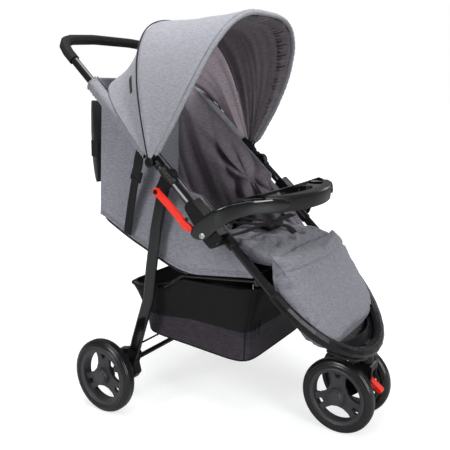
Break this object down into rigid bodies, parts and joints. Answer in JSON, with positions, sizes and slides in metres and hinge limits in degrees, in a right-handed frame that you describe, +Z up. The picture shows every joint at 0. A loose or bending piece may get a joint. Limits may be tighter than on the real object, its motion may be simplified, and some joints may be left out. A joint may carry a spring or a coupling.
{
  "type": "stroller",
  "caption": "Folding stroller with hood, swing-up meal tray, reclining seat, calf flap, basket, foot brake and a swivelling nose wheel.",
  "frame": {"origin": "middle of the stroller's outline on the floor, under the tyres", "axes": "+Z up, the child and the nose wheel face -Y, the handle is at +Y, +X is the child's left side"},
  "size_m": [0.6516, 0.8997, 1.0422],
  "materials": {
    "gloss_black_paint": "gloss powder coat",
    "black_plastic": "satin moulded",
    "gloss_black_plastic": "gloss moulded",
    "dark_grey_plastic": "satin moulded",
    "zinc_steel": "bright zinc plate",
    "red_plastic": "gloss moulded",
    "tyre_rubber": "smooth foam rubber",
    "grip_foam": "fine matte foam",
    "heather_grey_fabric": "heather weave",
    "dark_lining_fabric": "plain weave",
    "black_mesh_fabric": "coated weave",
    "black_webbing": "ribbed webbing"
  },
  "bodies": {
    "front_frame": {"front_tube_right": "gloss_black_paint", "front_tube_left": "gloss_black_paint", "nose_footrest": "black_plastic", "hinge_housing_right": "black_plastic", "hinge_housing_left": "black_plastic", "hinge_bolt_right": "zinc_steel", "hinge_bolt_left": "zinc_steel", "seat_pad": "heather_grey_fabric", "back_panel": "heather_grey_fabric", "side_panel_right": "heather_grey_fabric", "side_panel_left": "heather_grey_fabric", "shoulder_strap_right": "black_webbing", "shoulder_strap_left": "black_webbing", "crotch_strap": "black_webbing", "harness_buckle": "black_plastic", "basket": "black_mesh_fabric"},
    "tray_frame": {"tray": "black_plastic", "tray_arm_right": "gloss_black_plastic", "tray_arm_left": "gloss_black_plastic"},
    "leg_rest_flap": {"leg_rest": "heather_grey_fabric"},
    "backrest_frame": {"backrest": "dark_lining_fabric"},
    "handle_frame": {"handle_tube": "gloss_black_paint", "handle_grip": "grip_foam", "handle_knuckle_right": "black_plastic", "handle_knuckle_left": "black_plastic", "leg_bracket_right": "black_plastic", "leg_bracket_left": "black_plastic", "canopy_clamp_right": "black_plastic", "canopy_clamp_left": "black_plastic", "canopy_rear_panel": "heather_grey_fabric", "recline_strap_right": "black_webbing", "recline_strap_left": "black_webbing"},
    "rear_frame": {"rear_leg_right": "gloss_black_paint", "rear_leg_left": "gloss_black_paint", "axle_foot_right": "black_plastic", "axle_foot_left": "black_plastic", "rear_axle_tube": "gloss_black_paint", "rear_axle": "zinc_steel"},
    "rail_frame": {"seat_rail": "gloss_black_paint"},
    "front_bow_frame": {"canopy_front_bow": "black_plastic", "canopy_front_panel": "heather_grey_fabric"},
    "middle_bow_frame": {"canopy_middle_bow": "black_plastic"},
    "caster": {"caster_fork": "black_plastic", "front_axle": "zinc_steel"},
    "lock_pedal": {"swivel_lock": "red_plastic"},
    "brake": {"brake_bar": "black_plastic"},
    "lever_right": {"fold_lever_right": "red_plastic"},
    "lever_left": {"fold_lever_left": "red_plastic"},
    "rear_wheel_right": {"rear_wheel_right": "dark_grey_plastic", "rear_tyre_right": "tyre_rubber", "rear_hub_cap_right": "dark_grey_plastic"},
    "rear_wheel_left": {"rear_wheel_left": "dark_grey_plastic", "rear_tyre_left": "tyre_rubber", "rear_hub_cap_left": "dark_grey_plastic"},
    "front_wheel_right": {"front_wheel_right": "dark_grey_plastic", "front_tyre_right": "tyre_rubber", "front_hub_cap_right": "dark_grey_plastic"},
    "front_wheel_left": {"front_wheel_left": "dark_grey_plastic", "front_tyre_left": "tyre_rubber", "front_hub_cap_left": "dark_grey_plastic"}
  },
  "joints": [
    {"name": "frame_fold", "type": "hinge", "parent": "front_frame", "child": "handle_frame", "pos_m": [0, -0.08544, 0.496], "axis": [-1, 0, 0], "range_deg": [0, 125], "deforming": ["side_panel_right", "side_panel_left", "back_panel", "basket", "shoulder_strap_right", "shoulder_strap_left", "recline_strap_right", "recline_strap_left"]},
    {"name": "leg_fold", "type": "hinge", "parent": "handle_frame", "child": "rear_frame", "pos_m": [0, 0.06256, 0.587], "axis": [1, 0, 0], "range_deg": [0, 92]},
    {"name": "rail_fold", "type": "hinge", "parent": "front_frame", "child": "rail_frame", "pos_m": [0, -0.20044, 0.385], "axis": [-1, 0, 0], "range_deg": [0, 78]},
    {"name": "tray_swing", "type": "hinge", "parent": "front_frame", "child": "tray_frame", "pos_m": [0, -0.08544, 0.496], "axis": [-1, 0, 0], "range_deg": [0, 50]},
    {"name": "leg_rest_lift", "type": "hinge", "parent": "front_frame", "child": "leg_rest_flap", "pos_m": [0, -0.23544, 0.456], "axis": [-1, 0, 0], "range_deg": [0, 50]},
    {"name": "backrest_recline", "type": "hinge", "parent": "front_frame", "child": "backrest_frame", "pos_m": [0, 0.01456, 0.392], "axis": [1, 0, 0], "range_deg": [0, 45]},
    {"name": "canopy_front_fold", "type": "hinge", "parent": "middle_bow_frame", "child": "front_bow_frame", "pos_m": [0, 0.07956, 0.66], "axis": [-1, 0, 0], "range_deg": [0, 32], "deforming": ["canopy_front_panel", "canopy_rear_panel"]},
    {"name": "canopy_middle_fold", "type": "hinge", "parent": "handle_frame", "child": "middle_bow_frame", "pos_m": [0, 0.07956, 0.66], "axis": [-1, 0, 0], "range_deg": [0, 23]},
    {"name": "caster_swivel", "type": "hinge", "parent": "front_frame", "child": "caster", "pos_m": [0, -0.40544, 0.172], "axis": [0, 0, 1], "continuous": true},
    {"name": "swivel_lock_press", "type": "hinge", "parent": "caster", "child": "lock_pedal", "pos_m": [0, -0.40944, 0.13], "axis": [-1, 0, 0], "range_deg": [0, 30]},
    {"name": "brake_press", "type": "hinge", "parent": "rear_frame", "child": "brake", "pos_m": [0, 0.22556, 0.112], "axis": [-1, 0, 0], "range_deg": [0, 20]},
    {"name": "fold_lever_right_pull", "type": "hinge", "parent": "handle_frame", "child": "lever_right", "pos_m": [-0.239, 0.06256, 0.587], "axis": [1, 0, 0], "range_deg": [0, 32], "stiffness_Nm_per_rad": 0.1, "springref_deg": -28.65},
    {"name": "fold_lever_left_pull", "type": "hinge", "parent": "handle_frame", "child": "lever_left", "pos_m": [0.239, 0.06256, 0.587], "axis": [1, 0, 0], "range_deg": [0, 32], "stiffness_Nm_per_rad": 0.1, "springref_deg": -28.65},
    {"name": "rear_wheel_right_spin", "type": "hinge", "parent": "rear_frame", "child": "rear_wheel_right", "pos_m": [-0.303, 0.19456, 0.096], "axis": [1, 0, 0], "continuous": true},
    {"name": "rear_wheel_left_spin", "type": "hinge", "parent": "rear_frame", "child": "rear_wheel_left", "pos_m": [0.303, 0.19456, 0.096], "axis": [1, 0, 0], "continuous": true},
    {"name": "front_wheel_right_spin", "type": "hinge", "parent": "caster", "child": "front_wheel_right", "pos_m": [-0.057, -0.35644, 0.0934], "axis": [1, 0, 0], "continuous": true},
    {"name": "front_wheel_left_spin", "type": "hinge", "parent": "caster", "child": "front_wheel_left", "pos_m": [0.057, -0.35644, 0.0934], "axis": [1, 0, 0], "continuous": true}
  ],
  "couplings": [
    {"joint": "leg_fold", "follows": "frame_fold", "ratio": 0.7},
    {"joint": "rail_fold", "follows": "frame_fold", "ratio": 0.62},
    {"joint": "canopy_middle_fold", "follows": "canopy_front_fold", "ratio": 0.7}
  ]
}
